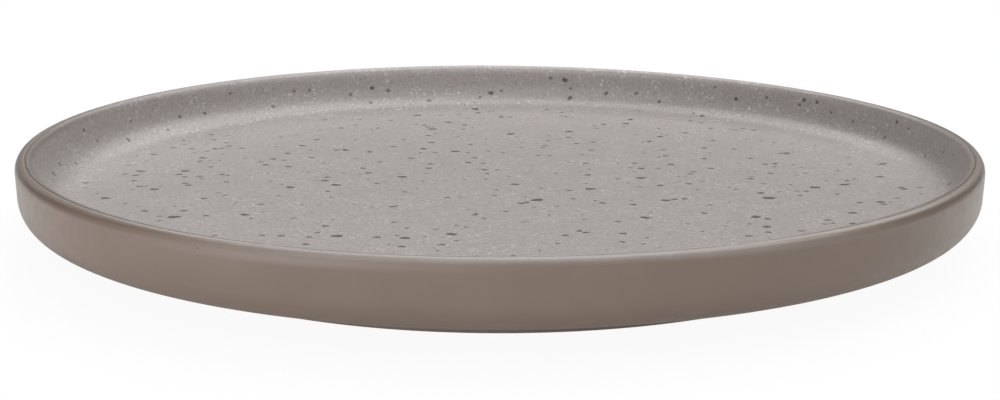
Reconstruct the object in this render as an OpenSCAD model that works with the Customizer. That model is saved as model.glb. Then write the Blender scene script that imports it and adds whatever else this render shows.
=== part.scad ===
// Coupe dinner plate in stoneware.
// One fired clay body with a bare rounded lip and a bare foot ring, a speckled glaze coat in the well,
// a satin glaze coat on the outside wall and underside, and a third coat in the recess of the foot.
// The plate stands on z = 0 with its axis on +Z. Every piece is a revolved section, drawn as [radius, height].

/* [Plate] */
// Overall diameter, over the outside glaze
plate_d = 270; // [220:1:320]
// Overall height, from the table to the top of the lip
plate_h = 25.5; // [22:0.5:34]

/* [Wall] */
// Thickness of the clay at the fully rounded lip
lip_t = 4; // [3:0.1:5.5]
// Outward lean of the outside of the wall, in degrees
wall_draft = 2; // [0:0.5:8]
// Outward lean of the inside of the wall, in degrees
inner_draft = 4; // [1:0.5:10]
// Radius of the outside corner between wall and underside
corner_r = 8.5; // [5:0.5:11]

/* [Well] */
// Depth of the well, from the top of the lip down to the glazed floor
well_depth = 13.75; // [11.5:0.25:16]
// Radius of the cove between the floor and the inside of the wall
cove_r = 9; // [5:0.5:10]

/* [Foot] */
// Outer diameter of the foot ring
foot_d = 214; // [160:1:224]
// Width of the foot ring
foot_w = 6; // [4:0.5:12]
// Height of the glazed underside where it leaves the foot ring
foot_h = 3.3; // [2:0.1:5]
// Distance from the plate's edge in to where the underside starts to rise
heel_inset = 28; // [20:1:38]
// Rise of the underside from there to the wall, in degrees
underside_slope = 12; // [6:1:16]
// Depth of the recess inside the foot ring, up to its glaze
recess_h = 4.5; // [3.5:0.25:6]
// Radius of the fillet between the foot ring and the recess
recess_r = 2.5; // [1:0.25:3]
// Rounding of the two lower edges of the foot ring
foot_edge_r = 0.9; // [0.4:0.1:1.2]

/* [Glaze] */
// Thickness of the speckled coat in the well
inner_glaze_t = 0.5; // [0.3:0.05:0.8]
// Thickness of the satin coats on the outside and in the recess
outer_glaze_t = 0.35; // [0.2:0.05:0.6]

/* [Hidden] */
$fn = 200;

function direction(angle) = [cos(angle), sin(angle)];
function cross_2d(a, b) = a.x * b.y - a.y * b.x;
// Point where two lines meet, each given by its unit normal and its distance from the origin
function meeting_point(normal_a, distance_a, normal_b, distance_b) =
    [distance_a * normal_b.y - distance_b * normal_a.y, distance_b * normal_a.x - distance_a * normal_b.x]
    / cross_2d(normal_a, normal_b);

// Directions square to the surfaces, pointing out of the plate
outer_side = direction(-wall_draft);
inner_side = direction(180 - inner_draft);
under_side = direction(underside_slope - 90);
floor_side = direction(90);

// Lip: a full round whose two sides run on into the wall
lip_r = lip_t / 2;
lip_centre = [plate_d / 2 - (lip_r + outer_glaze_t) * outer_side.x, plate_h - lip_r];
lip_outer_edge = lip_centre + lip_r * outer_side;
lip_inner_edge = lip_centre + lip_r * inner_side;

// Floor, and the cove tangent to the glazed floor and to the glazed inside of the wall
floor_z = plate_h - well_depth;
bare_floor_z = floor_z - inner_glaze_t;
cove_centre = meeting_point(
    inner_side, lip_inner_edge * inner_side + inner_glaze_t + cove_r,
    floor_side, floor_z + cove_r);
bare_cove_r = cove_r + inner_glaze_t;
cove_angle = -(90 + inner_draft) / 2;

// Foot ring and the recess inside it
foot_r = foot_d / 2;
foot_inner_r = foot_r - foot_w;
bare_recess_h = recess_h + outer_glaze_t;
recess_centre = [foot_inner_r - recess_r, bare_recess_h - recess_r];
glazed_recess_r = recess_r - outer_glaze_t;

// Heel, where the underside starts to rise to the wall
heel = [plate_d / 2 - heel_inset, foot_h];
// Start of the underside at a depth below its glaze: level from the foot ring to the heel,
// or straight on the rise where the foot ring reaches the heel
function underside_start(depth) =
    heel.x > foot_r
    ? [[foot_r, foot_h + depth], [heel.x - depth * tan(underside_slope / 2), foot_h + depth]]
    : [[foot_r, foot_h + (foot_r - heel.x) * tan(underside_slope) + depth / cos(underside_slope)]];

// Outside corner, tangent to the glazed wall and underside, and no rounder than the room beside the foot ring
round_r = min(corner_r, plate_d / 2 - foot_r);
bare_round_r = round_r - outer_glaze_t;
corner_centre = meeting_point(
    outer_side, lip_outer_edge * outer_side + outer_glaze_t - round_r,
    under_side, heel * under_side - round_r);
corner_angle = (underside_slope - 90 - wall_draft) / 2;

// Point in the middle of the clay over the foot ring, where the sections of the foot and its coat close
mid_floor_z = (max(bare_recess_h, underside_start(outer_glaze_t)[0].y) + bare_floor_z) / 2;
mid_foot = [foot_r - foot_w / 2, mid_floor_z];

// Straight runs end this far inside the rounds that they meet, so that the two cross cleanly
tuck = 0.003;
// Share of its radius at which the disc that rounds a corner is cut off, well inside the corner
round_start_share = 0.6;

// Disc of the section, at a centre
module disc(centre, radius) {
    translate(centre) circle(radius);
}

// Outer part of a disc, towards an angle, that rounds a corner of the section
module rounding(centre, radius, angle) {
    translate(centre) rotate(angle) intersection() {
        circle(radius);
        translate([round_start_share * radius, -radius]) square(2 * radius);
    }
}

// The well, as far as a depth below the surface of its glaze, up to a height
module well_section(depth, top_z) {
    wall_distance = lip_inner_edge * inner_side + inner_glaze_t - depth - tuck;
    polygon([
        [0, top_z],
        [0, floor_z - depth],
        [cove_centre.x, floor_z - depth],
        cove_centre - (cove_r + depth - tuck) * inner_side,
        meeting_point(inner_side, wall_distance, floor_side, top_z),
    ]);
    rounding(cove_centre, cove_r + depth, cove_angle);
}

// The plate outside the foot ring, from a depth below the surface of its glaze
module outside_section(depth) {
    polygon([
        [foot_r, lip_outer_edge.y],
        each underside_start(depth),
        corner_centre + (round_r - depth - tuck) * under_side,
        corner_centre + (round_r - depth - tuck) * outer_side,
        lip_outer_edge + (outer_glaze_t - depth - tuck) * outer_side,
    ]);
    rounding(corner_centre, round_r - depth, corner_angle);
}

// Foot ring with its rounded lower edges and the fillet into the recess, up to the middle of the floor
module foot_section() {
    difference() {
        union() {
            polygon([
                [recess_centre.x, mid_floor_z],
                [recess_centre.x, bare_recess_h],
                [foot_inner_r, recess_centre.y],
                [foot_inner_r, foot_edge_r],
                [foot_inner_r + foot_edge_r, 0],
                [foot_r - foot_edge_r, 0],
                [foot_r, foot_edge_r],
                [foot_r, mid_floor_z],
            ]);
            disc([foot_inner_r + foot_edge_r, foot_edge_r], foot_edge_r);
            disc([foot_r - foot_edge_r, foot_edge_r], foot_edge_r);
        }
        disc(recess_centre, recess_r);
    }
}

// The clay alone
module clay_section() {
    difference() {
        union() {
            polygon([
                [0, bare_recess_h],
                [recess_centre.x, bare_recess_h],
                mid_foot,
                each underside_start(outer_glaze_t),
                corner_centre + (bare_round_r - tuck) * under_side,
                corner_centre + (bare_round_r - tuck) * outer_side,
                lip_centre + (lip_r - tuck) * outer_side,
                lip_centre + (lip_r - tuck) * inner_side,
                cove_centre - (bare_cove_r - tuck) * inner_side,
                [cove_centre.x, bare_floor_z],
                [0, bare_floor_z],
            ]);
            disc(lip_centre, lip_r);
            rounding(corner_centre, bare_round_r, corner_angle);
            foot_section();
        }
        disc(cove_centre, bare_cove_r);
    }
}

// Coat over the floor, the cove and the inside of the wall, with a rolled edge at the lip
module inner_glaze_section() {
    difference() {
        union() {
            difference() {
                well_section(2 * inner_glaze_t, (lip_inner_edge + inner_glaze_t * inner_side).y);
                well_section(0, plate_h);
            }
            disc(lip_inner_edge, inner_glaze_t);
        }
        clay_section();
    }
}

// Coat over the outside of the wall and the underside, from a rolled edge at the lip to the foot ring
module outer_glaze_section() {
    difference() {
        union() {
            difference() {
                outside_section(0);
                outside_section(2 * outer_glaze_t);
            }
            disc(lip_outer_edge, outer_glaze_t);
        }
        clay_section();
    }
}

// Coat in the recess, with a rolled edge on the inner side of the foot ring
module base_glaze_section() {
    difference() {
        union() {
            polygon([
                [0, mid_floor_z],
                [0, recess_h],
                [recess_centre.x, recess_h],
                [recess_centre.x + glazed_recess_r, recess_centre.y],
                [mid_foot.x, recess_centre.y],
                mid_foot,
            ]);
            disc([foot_inner_r, recess_centre.y], outer_glaze_t);
        }
        disc(recess_centre, glazed_recess_r);
        clay_section();
    }
}

module stoneware_body() {
    color([0.53, 0.47, 0.42]) rotate_extrude() clay_section();
}

module inner_glaze() {
    color([0.63, 0.60, 0.59]) rotate_extrude() inner_glaze_section();
}

module outer_glaze() {
    color([0.50, 0.45, 0.41]) rotate_extrude() outer_glaze_section();
}

module base_glaze() {
    color([0.50, 0.45, 0.41]) rotate_extrude() base_glaze_section();
}

stoneware_body();
inner_glaze();
outer_glaze();
base_glaze();
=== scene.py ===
import math
import random

import bpy
import numpy as np
from mathutils import Matrix, Vector
from mathutils.bvhtree import BVHTree


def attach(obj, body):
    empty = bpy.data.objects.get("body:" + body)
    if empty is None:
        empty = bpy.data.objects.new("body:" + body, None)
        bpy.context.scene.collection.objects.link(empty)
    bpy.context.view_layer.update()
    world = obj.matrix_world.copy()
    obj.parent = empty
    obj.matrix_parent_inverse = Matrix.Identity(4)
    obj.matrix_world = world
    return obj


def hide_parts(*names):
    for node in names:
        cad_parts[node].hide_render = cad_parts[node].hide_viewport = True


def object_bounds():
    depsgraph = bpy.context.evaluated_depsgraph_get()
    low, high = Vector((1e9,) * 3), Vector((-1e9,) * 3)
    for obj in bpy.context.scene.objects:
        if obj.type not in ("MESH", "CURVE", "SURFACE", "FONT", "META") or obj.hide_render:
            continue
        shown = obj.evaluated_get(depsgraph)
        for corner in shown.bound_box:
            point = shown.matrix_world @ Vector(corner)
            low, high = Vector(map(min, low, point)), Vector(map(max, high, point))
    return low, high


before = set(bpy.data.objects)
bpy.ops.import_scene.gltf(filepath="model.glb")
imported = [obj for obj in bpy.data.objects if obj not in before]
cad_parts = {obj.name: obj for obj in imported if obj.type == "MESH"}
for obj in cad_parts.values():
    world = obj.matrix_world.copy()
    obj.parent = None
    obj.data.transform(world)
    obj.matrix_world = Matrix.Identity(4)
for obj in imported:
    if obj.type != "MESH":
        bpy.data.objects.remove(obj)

# Looks of the coupe dinner plate: bare clay, a speckled coat in the well and a satin coat outside.
# Sections of the plate are drawn in millimetres, as [radius, height], and revolved about Z.

MM = 0.001
cad_low, cad_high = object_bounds()
rng = random.Random(27)

# Sizes of the plate, in millimetres and degrees
PLATE_R = cad_high.x / MM
PLATE_H = cad_high.z / MM
LIP_R = 2.0
WALL_DRAFT = 2.0
INNER_DRAFT = 4.0
CORNER_R = 8.5
WELL_DEPTH = 13.75
COVE_R = 9.0
FOOT_R = 107.0
FOOT_W = 6.0
FOOT_H = 3.3
FOOT_EDGE_R = 0.9
UNDERSIDE_SLOPE = 12.0
RECESS_H = 4.5
RECESS_R = 2.5
INNER_GLAZE_T = 0.5
OUTER_GLAZE_T = 0.35

# Unevenness of the rim: waves round the plate, each with its height and the angle of its first crest
RIM_WAVES = ((1, 0.48, 176.0), (2, 0.31, 146.0))

# Fineness of the meshes: counts, and steps in degrees and millimetres
SEGMENTS = 720
ARC_STEP = 5.0
LIP_STEP = 3.0
RUNOUT_STEP = 1.0
HIDDEN_STEP = 12.0
FLOOR_STEP = 6.0
EDGE_ROWS = 14
# Radius under which a row of a mesh is one point
POINT_R = 1e-6

# How far a coat's hidden back reaches into the clay
COAT_SINK = 0.05
# The inner coat gathers in the cove and runs out over the floor in a flat curve: its radius, and the
# slope in degrees where the cove begins
RUNOUT_R = 40.0
RUNOUT_SLOPE = 8.0
# Stretch of each coat over which it thins towards its edge
INNER_EDGE_STRETCH = 1.6
OUTER_EDGE_STRETCH = 1.8
# Reach of the glaze edges over the lip, how much they wander, and the share of the thickness left there
INNER_EDGE_REACH = 2.55
INNER_EDGE_WANDER = 0.15
INNER_EDGE_SHARE = 0.3
OUTER_EDGE_REACH = 0.9
OUTER_EDGE_WANDER = 0.15
OUTER_EDGE_SHARE = 0.12
# Waves round the plate that make up each edge's wander, and their least and greatest strengths
INNER_EDGE_WAVES = (3, 5, 9, 14, 23, 31, 47, 62)
OUTER_EDGE_WAVES = (7, 11, 17, 26, 38, 53, 71, 95)
WAVE_STRENGTHS = (0.4, 1.0)
# Where a coat reaches further over the lip, or less far: angle round the plate, spread, and change
INNER_CLIMBS = ((90.0, 60.0, 1.4), (180.0, 14.0, -0.6), (270.0, 25.0, -0.3))
OUTER_CLIMBS = ((270.0, 38.0, 2.6),)
# Least width of clay between the two coats
CLAY_GAP = 0.12
# Bare clay is dark along both glaze edges, over these widths
OUTER_DARK_W = 1.1
INNER_DARK_W = 0.5
# Width over which a coat darkens towards its edge
THIN_W = 0.9
# Further, fainter darkening of the inner coat, and its share
INNER_FADE_W = 3.0
INNER_FADE_SHARE = 0.6
# The edges are dark at the plate's left and right, partly a real glaze break and partly painted shade:
# shares of the plate's radius, out from the middle, at which they start to darken and are fully dark
DARK_START = 0.38
DARK_FULL = 0.92
# At the front the crest is paler, partly inner glaze run into the outer coat and partly a painted
# highlight, and a fainter painted highlight lies below it at the front-left.
# For each mix: angle and spread round the plate, share, and the distances from the coat's edge
# at which it starts to fade and ends
GLAZE_RUNS_AND_HIGHLIGHTS = ((272.0, 27.0, 1.0, 1.5, 2.9), (250.0, 15.0, 0.4, 3.0, 5.0))

# Camera: place and aim in metres, roll in radians, lens and sensor in millimetres, and frame in pixels
CAMERA_PLACE = Vector((0.0, -0.4881, 0.1211))
CAMERA_AIM = Vector((0.0, 0.0, 0.0068))
CAMERA_ROLL = 0.0004
CAMERA_LENS = 62.15
SENSOR_W = 36.0
IMAGE_W = 1000
IMAGE_H = 400
FOCAL_PIXELS = CAMERA_LENS / SENSOR_W * IMAGE_W
CAMERA_TURN = (CAMERA_AIM - CAMERA_PLACE).to_track_quat("-Z", "Y").to_matrix()
CAMERA_TURN = CAMERA_TURN @ Matrix.Rotation(CAMERA_ROLL, 3, "Z")

# The boldest iron specks, read in the photograph: pixels of the frame, width there, and strength
BOLD_WALL_SPECKS = ((372, 88), (491, 93), (565, 80), (570, 98), (702, 116), (804, 100))
BOLD_WALL_SPECK_W = 6.4
BOLD_WALL_STRENGTH = 0.5
BOLD_FLOOR_SPECKS = (
    (337, 236), (405, 238), (174, 217), (336, 185), (537, 200), (590, 189), (769, 198), (756, 217),
)
BOLD_FLOOR_SPECK_W = 13.0
BOLD_FLOOR_STRENGTH = 1.0
# Least and greatest share of the given width that a bold speck has
BOLD_WIDTH_SHARES = (0.85, 1.15)
# Speck in the satin glaze of the wall: pixel, width there, and strength
PIT = (197, 248)
PIT_W = 3.0
PIT_STRENGTH = 0.8

# Specks scattered over the well: their number, diameters and strengths
FINE_SPECKS = (500, (1.1, 2.7), (0.35, 1.0))
LARGE_SPECKS = (70, (2.2, 3.6), (0.85, 1.0))
WALL_SPECKS = (46, (1.3, 2.3), (0.35, 0.5))
# Power that makes small specks more common than large ones
SMALL_SPECK_POWER = 1.5
# Turn from one scattered speck to the next, which spreads them evenly, and how far it strays, in radians
GOLDEN_ANGLE = math.pi * (3.0 - math.sqrt(5.0))
STRAY_ANGLE = 0.7
# Sine of the angle round the plate below which the inner wall faces away from the camera
FRONT_SINE = -0.3
# Shape of a speck: a thin lens whose border lies just under the glaze
SPECK_RINGS = 4
SPECK_SIDES = 18
SPECK_RISE = 0.02
SPECK_SINK = 0.01
# Height from which a speck's points are dropped on to the glaze
SPECK_SEARCH = 3.0
# Unevenness of a speck's outline: how oval it is, how far the oval turns, and the size of three lobes
SPECK_OVAL = 0.16
SPECK_TURN_SPREAD = 0.7
SPECK_LOBES = 0.09
# Heights on the wall that specks are scattered over: above the floor, and below the top of the inner wall
SPECKS_ABOVE_FLOOR = 1.0
SPECKS_BELOW_TOP = 1.2


def direction(angle):
    return np.array([math.cos(math.radians(angle)), math.sin(math.radians(angle))])


def meeting_point(normal_a, distance_a, normal_b, distance_b):
    """Point where two lines meet, each given by its unit normal and its distance from the origin."""
    return np.linalg.solve(np.array([normal_a, normal_b]), np.array([distance_a, distance_b]))


def arc(centre, radius, start, end, step=ARC_STEP):
    """Points along an arc, from one angle to another, and the directions they face."""
    count = max(2, math.ceil(abs(end - start) / step) + 1)
    facing = [direction(a) for a in np.linspace(start, end, count)]
    return [(centre + radius * f, f) for f in facing]


def line(start, end, facing, step):
    """Points along a straight run, and the direction it faces."""
    count = max(2, math.ceil(np.linalg.norm(end - start) / step) + 1)
    return [(start + (end - start) * t, facing) for t in np.linspace(0.0, 1.0, count)]


def fade(value, low, high):
    """Smooth step from 1 at low to 0 at high."""
    t = np.clip((value - low) / (high - low), 0.0, 1.0)
    return 1.0 - t * t * (3.0 - 2.0 * t)


# Section of the plate, worked out as the solids are
OUTER_SIDE = direction(-WALL_DRAFT)
INNER_SIDE = direction(180.0 - INNER_DRAFT)
UNDER_SIDE = direction(UNDERSIDE_SLOPE - 90.0)
UP = direction(90.0)
OUTER_WALL_UP = direction(90.0 - WALL_DRAFT)
INNER_WALL_UP = direction(90.0 - INNER_DRAFT)
LIP_CENTRE = np.array([PLATE_R - (LIP_R + OUTER_GLAZE_T) * OUTER_SIDE[0], PLATE_H - LIP_R])
LIP_OUTER_EDGE = LIP_CENTRE + LIP_R * OUTER_SIDE
LIP_INNER_EDGE = LIP_CENTRE + LIP_R * INNER_SIDE
LIP_RUN = LIP_R * math.radians(180.0 - INNER_DRAFT + WALL_DRAFT)
FLOOR_Z = PLATE_H - WELL_DEPTH
BARE_FLOOR_Z = FLOOR_Z - INNER_GLAZE_T
COVE_CENTRE = meeting_point(
    INNER_SIDE, LIP_INNER_EDGE @ INNER_SIDE + INNER_GLAZE_T + COVE_R, UP, FLOOR_Z + COVE_R)
BARE_COVE_R = COVE_R + INNER_GLAZE_T
FOOT_ROOT = np.array([FOOT_R, FOOT_H])
CORNER_CENTRE = meeting_point(
    OUTER_SIDE, LIP_OUTER_EDGE @ OUTER_SIDE + OUTER_GLAZE_T - CORNER_R,
    UNDER_SIDE, FOOT_ROOT @ UNDER_SIDE - CORNER_R)
BARE_CORNER_R = CORNER_R - OUTER_GLAZE_T
BARE_FOOT_ROOT = FOOT_ROOT + UP * OUTER_GLAZE_T / math.cos(math.radians(UNDERSIDE_SLOPE))
BARE_RECESS_H = RECESS_H + OUTER_GLAZE_T
RECESS_CENTRE = np.array([FOOT_R - FOOT_W - RECESS_R, BARE_RECESS_H - RECESS_R])

ANGLES = np.arange(SEGMENTS) * 2.0 * math.pi / SEGMENTS


def wander(waves):
    """Smooth uneven line round the plate, about -1 to 1, made of seeded waves."""
    total = np.zeros(SEGMENTS)
    for count in waves:
        total += rng.uniform(*WAVE_STRENGTHS) * np.sin(count * ANGLES + rng.uniform(0.0, 2.0 * math.pi))
    return total / np.abs(total).max()


def climbs(places):
    """Change of a coat's reach round the plate, as soft swells at the given places."""
    total = np.zeros(SEGMENTS)
    for angle, width, change in places:
        away = np.degrees(np.arccos(np.cos(ANGLES - math.radians(angle))))
        total += change * np.exp(-(away / width) ** 2)
    return total


rim_lift = sum(h * np.cos(count * (ANGLES - math.radians(crest))) for count, h, crest in RIM_WAVES)
inner_edge = INNER_EDGE_REACH + climbs(INNER_CLIMBS)
inner_edge += INNER_EDGE_WANDER * wander(INNER_EDGE_WAVES)
outer_edge = OUTER_EDGE_REACH + climbs(OUTER_CLIMBS)
outer_edge += OUTER_EDGE_WANDER * wander(OUTER_EDGE_WAVES)
outer_edge = np.minimum(outer_edge, LIP_RUN - CLAY_GAP - inner_edge)
# Darkening of the glaze edges round the plate, strongest at its left and right: partly a real glaze
# break, partly painted shade
break_and_side_shade = np.clip((np.abs(np.cos(ANGLES)) - DARK_START) / (DARK_FULL - DARK_START), 0.0, 1.0)
# Pale front crest: partly glaze run in, partly painted highlight; a fainter painted highlight below it
runs_and_highlights = [(climbs(((angle, width, share),)), start, end) for angle, width, share, start, end in GLAZE_RUNS_AND_HIGHLIGHTS]


def inner_base(distance):
    """Clay under the inner coat, at a distance past the top of the inner wall, and the way it faces."""
    if distance <= 0.0:
        return LIP_INNER_EDGE + distance * INNER_WALL_UP, INNER_SIDE
    facing = direction(180.0 - INNER_DRAFT - math.degrees(distance / LIP_R))
    return LIP_CENTRE + LIP_R * facing, facing


def outer_base(distance):
    """Clay under the outer coat, at a distance past the top of the outer wall, and the way it faces."""
    if distance <= 0.0:
        return LIP_OUTER_EDGE + distance * OUTER_WALL_UP, OUTER_SIDE
    facing = direction(-WALL_DRAFT + math.degrees(distance / LIP_R))
    return LIP_CENTRE + LIP_R * facing, facing


# Meshes of the clay and the coats
def level_rows(points):
    """Rows of a revolved mesh, as [radius, height, tone], that are the same all round and of no tone."""
    return [np.tile([point[0], point[1], 0.0], (SEGMENTS, 1)) for point in points]


def edge_rows(base, edge, stretch, thickness, end_share, faint_share, edge_runs_and_highlights):
    """Rows of a coat that thins to a rolled edge, whose reach over the lip differs round the plate.

    They lie closer towards the edge. Their tone is above 0 where dark clay shows through, with painted
    shade at the plate's left and right, and below 0 where another glaze has run in, partly a painted
    highlight at the front.
    """
    rows = []
    for share in np.linspace(0.0, 1.0, EDGE_ROWS):
        row = []
        for index, (reach, dark) in enumerate(zip(edge, break_and_side_shade)):
            to_edge = (reach + stretch) * (1.0 - share) ** 2
            depth = thickness * (end_share + (1.0 - end_share) * (1.0 - fade(to_edge, 0.0, stretch)))
            roll = 1.0 - min(1.0, to_edge / (thickness * end_share))
            point, facing = base(reach - to_edge)
            point = point + facing * (depth * math.sqrt(1.0 - roll * roll))
            faint = faint_share * fade(to_edge, THIN_W, INNER_FADE_W)
            shares = [mix[index] * fade(to_edge, start, end) for mix, start, end in edge_runs_and_highlights]
            mixed = max(shares, default=0.0)
            # Above 0, dark clay and painted shade; below 0, run-in glaze and a painted highlight
            tone = dark * max(faint, fade(to_edge, 0.0, THIN_W)) - mixed
            row.append([point[0], point[1], tone])
        rows.append(np.array(row))
    return rows


def lip_rows():
    """Rows of the bare lip, dark along the two glaze edges with painted shade at the plate's left and
    right, and washed with glaze at the front, partly a painted highlight.
    """
    run = arc(LIP_CENTRE, LIP_R, -WALL_DRAFT, 180.0 - INNER_DRAFT, LIP_STEP)
    rows = level_rows(points_of(run))
    for row, distance in zip(rows, np.linspace(0.0, LIP_RUN, len(run))):
        outer_dark = fade(distance - outer_edge, 0.0, OUTER_DARK_W)
        inner_dark = fade(LIP_RUN - distance - inner_edge, 0.0, INNER_DARK_W)
        # Dark clay with painted shade at the sides, and run-in glaze with a painted highlight at the
        # front
        row[:, 2] = break_and_side_shade * np.maximum(outer_dark, inner_dark) - runs_and_highlights[0][0]
    return rows


def new_object(name, vertices, faces, tones=()):
    mesh = bpy.data.meshes.new(name)
    mesh.from_pydata([tuple(v) for v in vertices], [], faces)
    mesh.validate()
    mesh.shade_smooth()
    if len(tones):
        mesh.attributes.new("tone", "FLOAT", "POINT").data.foreach_set("value", tones)
    made = bpy.data.objects.new(name, mesh)
    bpy.context.scene.collection.objects.link(made)
    return made


def revolved(name, rows):
    """Closed mesh from rows round the plate, lifted by the rim's waves; a row of no radius is a point."""
    vertices = []
    tones = []
    starts = []
    for row in rows:
        starts.append(len(vertices))
        radius, height, tone = row.T
        height = height + rim_lift * np.clip((height - FLOOR_Z) / WELL_DEPTH, 0.0, None)
        count = 1 if radius.max() < POINT_R else SEGMENTS
        ring = np.stack([radius * np.cos(ANGLES), radius * np.sin(ANGLES), height], axis=1) * MM
        vertices.extend(ring[:count])
        tones.extend(tone[:count])
    sizes = np.diff(starts + [len(vertices)])
    faces = []
    for a in range(len(rows)):
        b = (a + 1) % len(rows)
        if sizes[a] == 1 and sizes[b] == 1:
            continue
        for i in range(SEGMENTS):
            j = (i + 1) % SEGMENTS
            corners = [starts[a] + i % sizes[a], starts[a] + j % sizes[a],
                       starts[b] + j % sizes[b], starts[b] + i % sizes[b]]
            faces.append([int(c) for c in dict.fromkeys(corners)])
    return new_object(name, vertices, faces, tones)


def points_of(run):
    return [point for point, facing in run]


def sunk(run):
    """A run of points moved a little into the clay."""
    return [point - COAT_SINK * facing for point, facing in run]


def make_clay():
    """The clay, from the middle of the recess round the foot and the lip to the middle of the floor."""
    foot_in = FOOT_R - FOOT_W
    edge_in = np.array([foot_in + FOOT_EDGE_R, FOOT_EDGE_R])
    edge_out = np.array([FOOT_R - FOOT_EDGE_R, FOOT_EDGE_R])
    recess_top = RECESS_CENTRE + RECESS_R * UP
    below = (
        [(np.array([0.0, BARE_RECESS_H]), -UP), (recess_top, -UP)]
        + arc(RECESS_CENTRE, RECESS_R, 90.0, 0.0)[1:]
        + arc(edge_in, FOOT_EDGE_R, 180.0, 270.0) + arc(edge_out, FOOT_EDGE_R, 270.0, 360.0)
        + [(BARE_FOOT_ROOT, UNDER_SIDE)]
        + arc(CORNER_CENTRE, BARE_CORNER_R, UNDERSIDE_SLOPE - 90.0, -WALL_DRAFT, HIDDEN_STEP))
    inside = arc(COVE_CENTRE, BARE_COVE_R, -INNER_DRAFT, -90.0, HIDDEN_STEP)
    inside += [(np.array([0.0, BARE_FLOOR_Z]), UP)]
    rows = level_rows(points_of(below)) + lip_rows() + level_rows(points_of(inside))
    return revolved("plate_clay", rows)


def make_well_coat():
    """Coat over the floor, the cove and the inner wall, up to an uneven rolled edge on the lip."""
    middle = np.array([0.0, FLOOR_Z])
    slope = RUNOUT_SLOPE - 90.0
    lift = (RUNOUT_R - COVE_R) * (1.0 + direction(slope)[1])
    cove_centre = COVE_CENTRE + INNER_WALL_UP * lift / INNER_WALL_UP[1]
    runout_centre = cove_centre - (RUNOUT_R - COVE_R) * direction(slope)
    shown = line(middle, np.array([runout_centre[0], FLOOR_Z]), UP, FLOOR_STEP)
    shown += [(p, -f) for p, f in arc(runout_centre, RUNOUT_R, -90.0, slope, RUNOUT_STEP)[1:]]
    shown += [(p, -f) for p, f in arc(cove_centre, COVE_R, slope, -INNER_DRAFT)[1:]]
    back = [(p, -f) for p, f in arc(COVE_CENTRE, BARE_COVE_R, -INNER_DRAFT, -90.0, HIDDEN_STEP)]
    back += [(np.array([0.0, BARE_FLOOR_Z]), UP)]
    rows = level_rows(points_of(shown))
    rows += edge_rows(inner_base, inner_edge, INNER_EDGE_STRETCH, INNER_GLAZE_T, INNER_EDGE_SHARE,
                      faint_share=INNER_FADE_SHARE, edge_runs_and_highlights=[])
    rows += level_rows(sunk(back))
    return revolved("well_coat", rows[::-1])


def make_wall_coat():
    """Coat over the underside and outer wall, from the foot ring to an uneven rolled edge on the lip."""
    shown = [(FOOT_ROOT, UNDER_SIDE)] + arc(CORNER_CENTRE, CORNER_R, UNDERSIDE_SLOPE - 90.0, -WALL_DRAFT)
    back = arc(CORNER_CENTRE, BARE_CORNER_R, -WALL_DRAFT, UNDERSIDE_SLOPE - 90.0, HIDDEN_STEP)
    back += [(BARE_FOOT_ROOT, UNDER_SIDE)]
    rows = level_rows(points_of(shown))
    rows += edge_rows(outer_base, outer_edge, OUTER_EDGE_STRETCH, OUTER_GLAZE_T, OUTER_EDGE_SHARE,
                      faint_share=0.0, edge_runs_and_highlights=runs_and_highlights)
    return revolved("wall_coat", rows + level_rows(sunk(back)))


# Camera
def make_camera():
    data = bpy.data.cameras.new("camera")
    data.lens = CAMERA_LENS
    data.sensor_width = SENSOR_W
    camera = bpy.data.objects.new("camera", data)
    bpy.context.scene.collection.objects.link(camera)
    camera.matrix_world = Matrix.Translation(CAMERA_PLACE) @ CAMERA_TURN.to_4x4()
    bpy.context.scene.camera = camera


# Specks
def surface_of(piece):
    """Search tree over a piece's surface."""
    mesh = piece.data
    return BVHTree.FromPolygons([v.co for v in mesh.vertices], [p.vertices for p in mesh.polygons])


def seen_at(surface, pixel):
    """Point of a surface that shows at a pixel, the way it faces, and the size of a pixel there."""
    across = (pixel[0] - IMAGE_W / 2) / FOCAL_PIXELS
    up = (IMAGE_H / 2 - pixel[1]) / FOCAL_PIXELS
    sight = (CAMERA_TURN @ Vector((across, up, -1.0))).normalized()
    point, facing, _, distance = surface.ray_cast(CAMERA_PLACE, sight)
    return point, facing, distance / FOCAL_PIXELS


def floor_spot(surface, index, share):
    """Point of the floor and the way it faces; at the front, of the cove and the wall as well."""
    angle = index * GOLDEN_ANGLE + rng.uniform(-STRAY_ANGLE, STRAY_ANGLE)
    reach = COVE_CENTRE[0] if math.sin(angle) > FRONT_SINE else COVE_CENTRE[0] + COVE_R
    radius = reach * MM * math.sqrt(share)
    above = Vector((radius * math.cos(angle), radius * math.sin(angle), 2.0 * PLATE_H * MM))
    return surface.ray_cast(above, Vector((0.0, 0.0, -1.0)))[:2]


def wall_spot(surface, _index, share):
    """Point of the cove and wall at the sides and back, at a random height, and the way it faces."""
    first = math.asin(FRONT_SINE)
    angle = first + (math.pi - 2.0 * first) * share
    height = rng.uniform(FLOOR_Z + SPECKS_ABOVE_FLOOR, LIP_INNER_EDGE[1] - SPECKS_BELOW_TOP)
    outward = Vector((math.cos(angle), math.sin(angle), 0.0))
    return surface.ray_cast(Vector((0.0, 0.0, height * MM)), outward)[:2]


def scattered(surface, spot, count, diameters, strengths):
    """Evenly spread specks, small ones more often, as centre, the way it faces, diameter and strength."""
    low, high = diameters
    spots = []
    for index in range(count):
        point, facing = spot(surface, index, (index + rng.random()) / count)
        diameter = low + (high - low) * rng.random() ** SMALL_SPECK_POWER
        spots.append((point, facing, diameter * MM, rng.uniform(*strengths)))
    return spots


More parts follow.
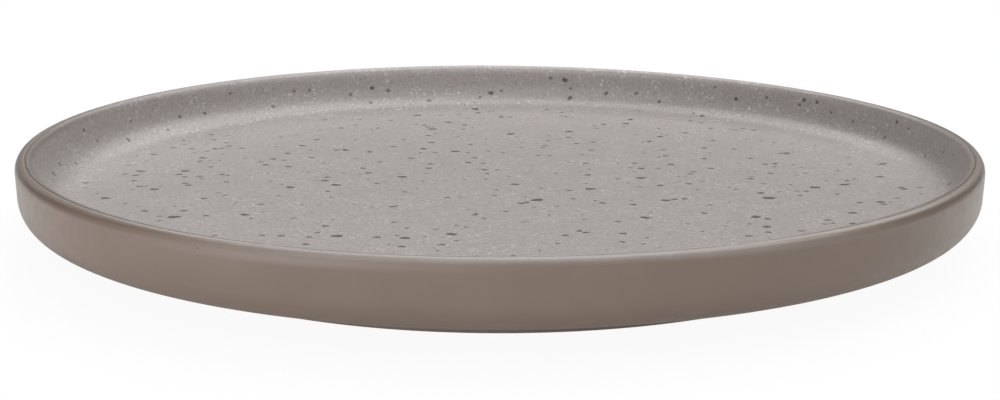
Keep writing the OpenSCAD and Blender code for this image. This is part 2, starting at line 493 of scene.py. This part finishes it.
def lens(surface, centre, facing, diameter, strength):
    """Thin irregular lens that lies on a surface, as vertices, faces and tones; its border is sunk."""
    other = facing.cross(Vector((1.0, 0.0, 0.0))).normalized()
    side = other.cross(facing)
    oval_turn = rng.gauss(0.5 * math.pi, SPECK_TURN_SPREAD)
    lobe_turn = rng.uniform(0.0, 2.0 * math.pi)
    vertices = [centre + facing * SPECK_RISE * MM]
    tones = [strength]
    faces = []
    for ring in range(1, SPECK_RINGS + 1):
        share = ring / SPECK_RINGS
        for i in range(SPECK_SIDES):
            turn = 2.0 * math.pi * i / SPECK_SIDES
            oval = SPECK_OVAL * math.sin(2.0 * turn + oval_turn)
            lobes = SPECK_LOBES * math.sin(3.0 * turn + lobe_turn)
            reach = 0.5 * diameter * share * (1.0 + oval + lobes)
            place = centre + side * (reach * math.cos(turn)) + other * (reach * math.sin(turn))
            hit, normal = surface.ray_cast(place + facing * SPECK_SEARCH * MM, -facing)[:2]
            rise = SPECK_RISE * (1.0 - share ** 2) - SPECK_SINK * share ** 2
            vertices.append(hit + normal * rise * MM)
            tones.append(strength * (1.0 - share ** 2))
            before = (i - 1) % SPECK_SIDES
            new = 1 + (ring - 1) * SPECK_SIDES
            old = new - SPECK_SIDES
            if ring == 1:
                faces.append((0, new + before, new + i))
            else:
                faces.append((old + before, new + before, new + i, old + i))
    return vertices, faces, tones


def make_specks(name, surface, spots):
    """One piece of many lenses; each spot is a centre, the way it faces, a diameter and a strength."""
    vertices = []
    faces = []
    tones = []
    for spot in spots:
        start = len(vertices)
        new_vertices, new_faces, new_tones = lens(surface, *spot)
        vertices += new_vertices
        faces += [[start + corner for corner in face] for face in new_faces]
        tones += new_tones
    return new_object(name, vertices, faces, tones)


def make_iron_specks(well_coat):
    surface = surface_of(well_coat)
    spots = []
    bold = (
        (BOLD_WALL_SPECKS, BOLD_WALL_SPECK_W, BOLD_WALL_STRENGTH),
        (BOLD_FLOOR_SPECKS, BOLD_FLOOR_SPECK_W, BOLD_FLOOR_STRENGTH),
    )
    for pixels, width, strength in bold:
        for pixel in pixels:
            point, facing, pixel_size = seen_at(surface, pixel)
            diameter = width * rng.uniform(*BOLD_WIDTH_SHARES) * pixel_size
            spots.append((point, facing, diameter, strength))
    spots += scattered(surface, floor_spot, *FINE_SPECKS)
    spots += scattered(surface, floor_spot, *LARGE_SPECKS)
    spots += scattered(surface, wall_spot, *WALL_SPECKS)
    return make_specks("iron_specks", surface, spots)


def make_wall_pit(wall_coat):
    surface = surface_of(wall_coat)
    point, facing, pixel_size = seen_at(surface, PIT)
    return make_specks("wall_pit", surface, [(point, facing, PIT_W * pixel_size, PIT_STRENGTH)])


# Colours of the materials
WELL_GREY = (0.318, 0.289, 0.276)
WELL_DARK = (0.205, 0.182, 0.174)
WELL_FLECK = (0.52, 0.49, 0.475)
IRON = (0.038, 0.029, 0.026)
WALL_TAUPE = (0.160, 0.117, 0.091)
WALL_DEEP = (0.147, 0.107, 0.083)
# Pale run-in glaze, which is also a painted highlight on the front crest
GLAZE_RUN_AND_HIGHLIGHT = (0.270, 0.241, 0.228)
CLAY = (0.190, 0.150, 0.126)
CLAY_PALE = (0.217, 0.176, 0.150)
CLAY_DARK = (0.105, 0.079, 0.064)
# Their roughness, as the least and the greatest where it varies, and their specular level
WELL_ROUGHNESS = (0.30, 0.40)
WELL_SPECULAR = 0.7
SPECK_ROUGHNESS = 0.4
SPECK_SPECULAR = 0.6
WALL_ROUGHNESS = (0.34, 0.42)
WALL_SPECULAR = 0.5
CLAY_ROUGHNESS = (0.30, 0.38)
CLAY_SPECULAR = 0.65
# Strength of their bump, and its height in metres
WELL_BUMP = (0.25, 0.0002)
WALL_BUMP = (0.05, 0.0001)
CLAY_BUMP = (0.08, 0.0001)
# Noise patterns: cells to the metre, detail, and how rough the detail is
WELL_GRAIN = (1900.0, 2.0, 0.5)
WELL_CLOUD = (500.0, 3.0, 0.5)
WELL_FLECKS = (950.0, 3.0, 0.6)
WELL_PATCHES = (130.0, 2.0, 0.5)
WELL_GLOSS = (700.0, 3.0, 0.5)
WELL_RELIEF = (420.0, 4.0, 0.5)
WALL_CLOUD = (45.0, 4.0, 0.5)
WALL_GLOSS = (300.0, 3.0, 0.5)
WALL_RELIEF = (500.0, 3.0, 0.5)
CLAY_GRAIN = (900.0, 4.0, 0.6)
CLAY_GLOSS = (600.0, 3.0, 0.5)
# The part of a noise's values that is spread over the whole change of colour or roughness
NOISE_RANGE = (0.3, 0.7)
GRAIN_RANGE = (0.40, 0.68)
CLOUD_RANGE = (0.30, 0.65)
FLECK_RANGE = (0.56, 0.68)
PATCH_RANGE = (0.38, 0.62)
# Least and greatest share of the grain in the clouds, and of the flecks in the patches and in the cove
CLOUD_SHARES = (0.35, 1.0)
PATCH_SHARES = (0.15, 1.0)
COVE_SHARES = (0.0, 0.5)
# Heights above the floor between which the cove's flecks set in, and between which they fade out
COVE_START = (0.1, 0.8)
COVE_END = (3.0, 7.0)
# Iron dots in the glaze: cells to the metre, radii in cells, where one below 0 is no dot, and soft edge
DOT_CELLS = 420.0
DOT_RADII = (-0.90, 0.18)
DOT_EDGE = 0.1
# Tones of a speck, from its border inwards, between which the glaze turns to iron
SPECK_TONES = (0.05, 0.50)
# Places of the two colours among a mix node's inputs, and of the mixed colour among its outputs
MIX_COLOURS = (6, 7)
MIX_RESULT = 2


# Materials
def new_material(name, specular):
    material = bpy.data.materials.new(name)
    material.use_nodes = True
    shader = material.node_tree.nodes["Principled BSDF"]
    shader.inputs["Specular IOR Level"].default_value = specular
    return material, material.node_tree, shader


def add(tree, kind, **values):
    """New node; inputs are given by name, with spaces as underscores."""
    node = tree.nodes.new(kind)
    for name, value in values.items():
        node.inputs[name.replace("_", " ")].default_value = value
    return node


def place_of(tree):
    return tree.nodes.new("ShaderNodeTexCoord").outputs["Object"]


def tone_of(tree):
    """Tone that the mesh carries at its vertices."""
    node = tree.nodes.new("ShaderNodeAttribute")
    node.attribute_name = "tone"
    return node.outputs["Fac"]


def noise(tree, pattern):
    scale, detail, roughness = pattern
    node = add(tree, "ShaderNodeTexNoise", Scale=scale, Detail=detail, Roughness=roughness)
    tree.links.new(place_of(tree), node.inputs["Vector"])
    return node.outputs["Fac"]


def spread(tree, value, low, high, to_low=0.0, to_high=1.0):
    """Value from one range to another, clamped."""
    node = add(tree, "ShaderNodeMapRange", From_Min=low, From_Max=high, To_Min=to_low, To_Max=to_high)
    tree.links.new(value, node.inputs["Value"])
    return node.outputs["Result"]


def combine(tree, operation, a, b):
    node = tree.nodes.new("ShaderNodeMath")
    node.operation = operation
    tree.links.new(a, node.inputs[0])
    tree.links.new(b, node.inputs[1])
    return node.outputs["Value"]


def blend(tree, share, a, b):
    """Colour a turning to colour b as share goes from 0 to 1; either may be a socket or a colour."""
    node = tree.nodes.new("ShaderNodeMix")
    node.data_type = "RGBA"
    tree.links.new(share, node.inputs["Factor"])
    for place, colour in zip(MIX_COLOURS, (a, b)):
        if isinstance(colour, bpy.types.NodeSocket):
            tree.links.new(colour, node.inputs[place])
        else:
            node.inputs[place].default_value = (*colour, 1.0)
    return node.outputs[MIX_RESULT]


def iron_dots(tree):
    """Round dots of random size, at most one to a cell, as a share from 0 to 1 with soft edges."""
    cells = add(tree, "ShaderNodeTexVoronoi", Scale=DOT_CELLS, Randomness=1.0)
    tree.links.new(place_of(tree), cells.inputs["Vector"])
    pick = tree.nodes.new("ShaderNodeSeparateColor")
    tree.links.new(cells.outputs["Color"], pick.inputs["Color"])
    radius = spread(tree, pick.outputs["Red"], 0.0, 1.0, *DOT_RADII)
    return spread(tree, combine(tree, "SUBTRACT", radius, cells.outputs["Distance"]), 0.0, DOT_EDGE)


def edge_tones(tree, colour):
    """Colour that turns to mixed glaze, partly a painted highlight, where the mesh's tone is below 0, and
    to dark clay, partly painted shade, above 0.
    """
    tone = tone_of(tree)
    mixed = blend(tree, spread(tree, tone, 0.0, -1.0), colour, GLAZE_RUN_AND_HIGHLIGHT)
    return blend(tree, spread(tree, tone, 0.0, 1.0), mixed, CLAY_DARK)


def vary_gloss(tree, shader, pattern, roughness):
    varied = spread(tree, noise(tree, pattern), *NOISE_RANGE, *roughness)
    tree.links.new(varied, shader.inputs["Roughness"])


def bump(tree, shader, pattern, strength, distance):
    node = add(tree, "ShaderNodeBump", Strength=strength, Distance=distance)
    tree.links.new(noise(tree, pattern), node.inputs["Height"])
    tree.links.new(node.outputs["Normal"], shader.inputs["Normal"])


def cove_flecks_and_highlight(tree):
    """Share of the cove's pale flecks, partly a painted highlight: 1 in the cove, and 0 on the floor and
    high on the wall.
    """
    axes = tree.nodes.new("ShaderNodeSeparateXYZ")
    tree.links.new(place_of(tree), axes.inputs["Vector"])
    start_low, start_high = [(FLOOR_Z + height) * MM for height in COVE_START]
    end_low, end_high = [(FLOOR_Z + height) * MM for height in COVE_END]
    above_floor = spread(tree, axes.outputs["Z"], start_low, start_high)
    below_wall = spread(tree, axes.outputs["Z"], end_low, end_high, 1.0, 0.0)
    return combine(tree, "MULTIPLY", above_floor, below_wall)


def well_colour(tree):
    """Warm grey with a fine dark grain, iron dots and pale flecks, most in patches and the cove, where
    they are partly a painted highlight.
    """
    grain = spread(tree, noise(tree, WELL_GRAIN), *GRAIN_RANGE)
    cloud = spread(tree, noise(tree, WELL_CLOUD), *CLOUD_RANGE, *CLOUD_SHARES)
    colour = blend(tree, combine(tree, "MULTIPLY", grain, cloud), WELL_GREY, WELL_DARK)
    fleck = spread(tree, noise(tree, WELL_FLECKS), *FLECK_RANGE)
    patch = spread(tree, noise(tree, WELL_PATCHES), *PATCH_RANGE, *PATCH_SHARES)
    # Pale flecks gather in the cove, partly a painted highlight there
    cove = spread(tree, cove_flecks_and_highlight(tree), 0.0, 1.0, *COVE_SHARES)
    fleck = combine(tree, "MULTIPLY", fleck, combine(tree, "MAXIMUM", patch, cove))
    return blend(tree, iron_dots(tree), blend(tree, fleck, colour, WELL_FLECK), IRON)


def well_material():
    """Speckled satin grey."""
    material, tree, shader = new_material("speckled_glaze", WELL_SPECULAR)
    tree.links.new(edge_tones(tree, well_colour(tree)), shader.inputs["Base Color"])
    vary_gloss(tree, shader, WELL_GLOSS, WELL_ROUGHNESS)
    bump(tree, shader, WELL_RELIEF, *WELL_BUMP)
    return material


def speck_material():
    """Iron that turns to the well's colour at a speck's border."""
    material, tree, shader = new_material("iron_speck", SPECK_SPECULAR)
    share = spread(tree, tone_of(tree), *SPECK_TONES)
    tree.links.new(blend(tree, share, well_colour(tree), IRON), shader.inputs["Base Color"])
    shader.inputs["Roughness"].default_value = SPECK_ROUGHNESS
    bump(tree, shader, WELL_RELIEF, *WELL_BUMP)
    return material


def wall_colour(tree):
    cloud = spread(tree, noise(tree, WALL_CLOUD), *NOISE_RANGE)
    return blend(tree, cloud, WALL_TAUPE, WALL_DEEP)


def wall_material():
    """Smooth satin taupe."""
    material, tree, shader = new_material("satin_glaze", WALL_SPECULAR)
    tree.links.new(edge_tones(tree, wall_colour(tree)), shader.inputs["Base Color"])
    vary_gloss(tree, shader, WALL_GLOSS, WALL_ROUGHNESS)
    bump(tree, shader, WALL_RELIEF, *WALL_BUMP)
    return material


def clay_material():
    """Smooth burnished clay."""
    material, tree, shader = new_material("bare_clay", CLAY_SPECULAR)
    grain = spread(tree, noise(tree, CLAY_GRAIN), *NOISE_RANGE)
    colour = edge_tones(tree, blend(tree, grain, CLAY, CLAY_PALE))
    tree.links.new(colour, shader.inputs["Base Color"])
    vary_gloss(tree, shader, CLAY_GLOSS, CLAY_ROUGHNESS)
    bump(tree, shader, CLAY_GRAIN, *CLAY_BUMP)
    return material


# Stage: a white floor and soft studio light
WHITE = (1.0, 1.0, 1.0, 1.0)
FLOOR_GREY = (0.88, 0.88, 0.88, 1.0)
FLOOR_HALF = 4.0
# Share of plain white in the floor, as the camera sees it and as gloss mirrors it
SEEN_WHITE = 0.94
MIRRORED_WHITE = 0.25
# Light from the studio: from front to back, between two places in depth, and from left to right
STUDIO_DEPTHS = (-0.7, 0.3)
FRONT_TO_BACK = (0.92, 0.14)
LEFT_TO_RIGHT = (0.60, 1.35)
# Lamps: name, place, aim, width and height, power, and whether they show in the plate's gloss
LAMPS = (
    ("back_softbox", (0.11, 0.38, 0.65), (0.0, 0.05, 0.0), (1.25, 0.8), 7.5, True),
    ("top_softbox", (0.1, -0.05, 0.85), (0.0, 0.0, 0.0), (0.9, 0.5), 1.2, True),
    ("left_softbox", (-0.4, -0.75, 0.7), (0.0, 0.0, 0.0), (0.8, 0.6), 1.0, True),
    ("left_card", (-0.66, -0.75, 0.035), (0.0, 0.0, 0.01), (0.6, 0.07), 4.4, False),
)


def make_floor():
    half = FLOOR_HALF
    corners = [(-half, -half, 0.0), (half, -half, 0.0), (half, half, 0.0), (-half, half, 0.0)]
    floor = new_object("floor", corners, [(0, 1, 2, 3)])
    material = bpy.data.materials.new("pale_floor")
    material.use_nodes = True
    tree = material.node_tree
    tree.nodes.remove(tree.nodes["Principled BSDF"])
    matt = add(tree, "ShaderNodeBsdfDiffuse", Color=FLOOR_GREY)
    white = add(tree, "ShaderNodeEmission", Color=WHITE, Strength=1.0)
    rays = tree.nodes.new("ShaderNodeLightPath")
    mirrored = combine(
        tree, "MAXIMUM", rays.outputs["Is Glossy Ray"], rays.outputs["Is Transmission Ray"])
    share = combine(
        tree, "MAXIMUM", spread(tree, rays.outputs["Is Camera Ray"], 0.0, 1.0, 0.0, SEEN_WHITE),
        spread(tree, mirrored, 0.0, 1.0, 0.0, MIRRORED_WHITE))
    mix = tree.nodes.new("ShaderNodeMixShader")
    tree.links.new(share, mix.inputs["Fac"])
    tree.links.new(matt.outputs["BSDF"], mix.inputs[1])
    tree.links.new(white.outputs["Emission"], mix.inputs[2])
    tree.links.new(mix.outputs["Shader"], tree.nodes["Material Output"].inputs["Surface"])
    floor.data.materials.append(material)


def make_world():
    """White studio, bright on the photographer's side and at the right, and dim behind the plate."""
    world = bpy.data.worlds.new("studio")
    bpy.context.scene.world = world
    world.use_nodes = True
    tree = world.node_tree
    axes = tree.nodes.new("ShaderNodeSeparateXYZ")
    tree.links.new(tree.nodes.new("ShaderNodeTexCoord").outputs["Generated"], axes.inputs["Vector"])
    background = tree.nodes["Background"]
    background.inputs["Color"].default_value = WHITE
    depth = spread(tree, axes.outputs["Y"], *STUDIO_DEPTHS, *FRONT_TO_BACK)
    side = spread(tree, axes.outputs["X"], -1.0, 1.0, *LEFT_TO_RIGHT)
    tree.links.new(combine(tree, "MULTIPLY", depth, side), background.inputs["Strength"])


def make_lamp(name, place, aim, size, power, mirrored):
    """Soft lamp. One that isn't mirrored lights the plate and doesn't show in its gloss."""
    data = bpy.data.lights.new(name, "AREA")
    data.shape = "RECTANGLE"
    data.size, data.size_y = size
    data.energy = power
    lamp = bpy.data.objects.new(name, data)
    bpy.context.scene.collection.objects.link(lamp)
    lamp.visible_glossy = mirrored
    lamp.location = place
    lamp.rotation_mode = "QUATERNION"
    lamp.rotation_quaternion = (Vector(aim) - Vector(place)).to_track_quat("-Z", "Y")


def make_stage():
    make_floor()
    make_world()
    for lamp in LAMPS:
        make_lamp(*lamp)


def dress(piece, material, slot, *nodes):
    piece.data.materials.clear()
    piece.data.materials.append(material)
    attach(piece, "root")
    if nodes:
        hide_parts(*nodes)


# The stage, and the pieces on their body
bpy.context.scene.view_settings.view_transform = "Standard"
make_camera()
make_stage()
satin = wall_material()
well_coat = make_well_coat()
wall_coat = make_wall_coat()
dress(make_clay(), clay_material(), "clay", "stoneware_body")
dress(well_coat, well_material(), "speckled_glaze", "inner_glaze")
dress(wall_coat, satin, "satin_glaze", "outer_glaze")
dress(make_iron_specks(well_coat), speck_material(), "speckled_glaze")
dress(make_wall_pit(wall_coat), satin, "satin_glaze")
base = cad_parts["base_glaze"]
base.data.materials.clear()
base.data.materials.append(satin)
